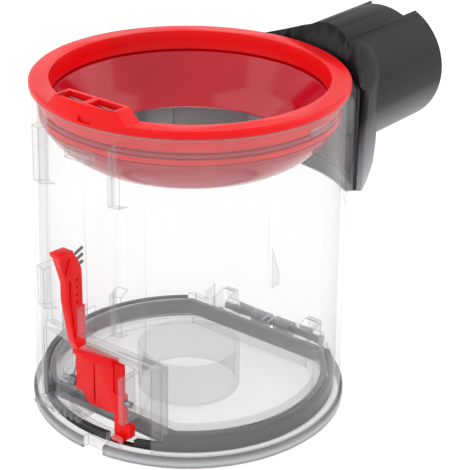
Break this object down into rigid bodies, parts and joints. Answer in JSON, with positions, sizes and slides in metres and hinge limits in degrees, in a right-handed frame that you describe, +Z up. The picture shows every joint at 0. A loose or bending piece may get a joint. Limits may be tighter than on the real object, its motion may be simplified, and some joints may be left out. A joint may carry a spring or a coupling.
{
  "type": "vacuum cleaner dust bin",
  "caption": "Clear cylindrical dust bin with a red collar, a side inlet pipe, a hinged base lid and a slider-operated catch.",
  "frame": {"origin": "centre of the base lid's underside, on the bin's axis", "axes": "+Z up along the bin's axis; +Y towards the lid's hinge and along the inlet pipe; -Y is the catch's side"},
  "size_m": [0.1244, 0.1781, 0.1425],
  "materials": {
    "clear_plastic": "clear, polished",
    "red_plastic": "semi-gloss",
    "soft_red": "satin",
    "charcoal_plastic": "satin",
    "rubber": "matt",
    "steel": "plain"
  },
  "bodies": {
    "root": {"bin_body": "clear_plastic", "collar_ring": "red_plastic", "scraper_cone": "soft_red", "collar_seal": "soft_red", "ring_clip_left": "steel", "ring_clip_right": "steel", "inlet_duct": "charcoal_plastic", "duct_gasket": "rubber", "duct_screw_upper": "steel", "duct_screw_lower": "steel", "hinge_pin": "steel", "lid_spring_left": "steel", "lid_spring_right": "steel", "catch_pin": "steel", "catch_spring": "steel", "slider_spring": "steel"},
    "lid": {"base_lid": "clear_plastic", "lid_upstand": "clear_plastic", "lid_hub": "clear_plastic", "lid_keeper": "clear_plastic", "lid_seal": "rubber", "rim_gasket": "rubber"},
    "catch": {"lid_catch": "red_plastic"},
    "slider": {"release_slider": "red_plastic"}
  },
  "joints": [
    {"name": "lid_hinge", "type": "hinge", "parent": "root", "child": "lid", "pos_m": [0, 0.0565, 0.006], "axis": [1, 0, 0], "range_deg": [0, 95]},
    {"name": "slider_travel", "type": "slide", "parent": "root", "child": "slider", "axis": [0, 0, -1], "range_m": [0, 0.0035], "stiffness_N_per_m": 300, "deforming": ["slider_spring"]},
    {"name": "catch_pivot", "type": "hinge", "parent": "root", "child": "catch", "pos_m": [0, -0.054, 0.022], "axis": [1, 0, 0], "range_deg": [0, 10.5], "stiffness_Nm_per_rad": 0.02}
  ],
  "couplings": [
    {"joint": "catch_pivot", "follows": "slider_travel", "rad_per_m": 49.866}
  ]
}
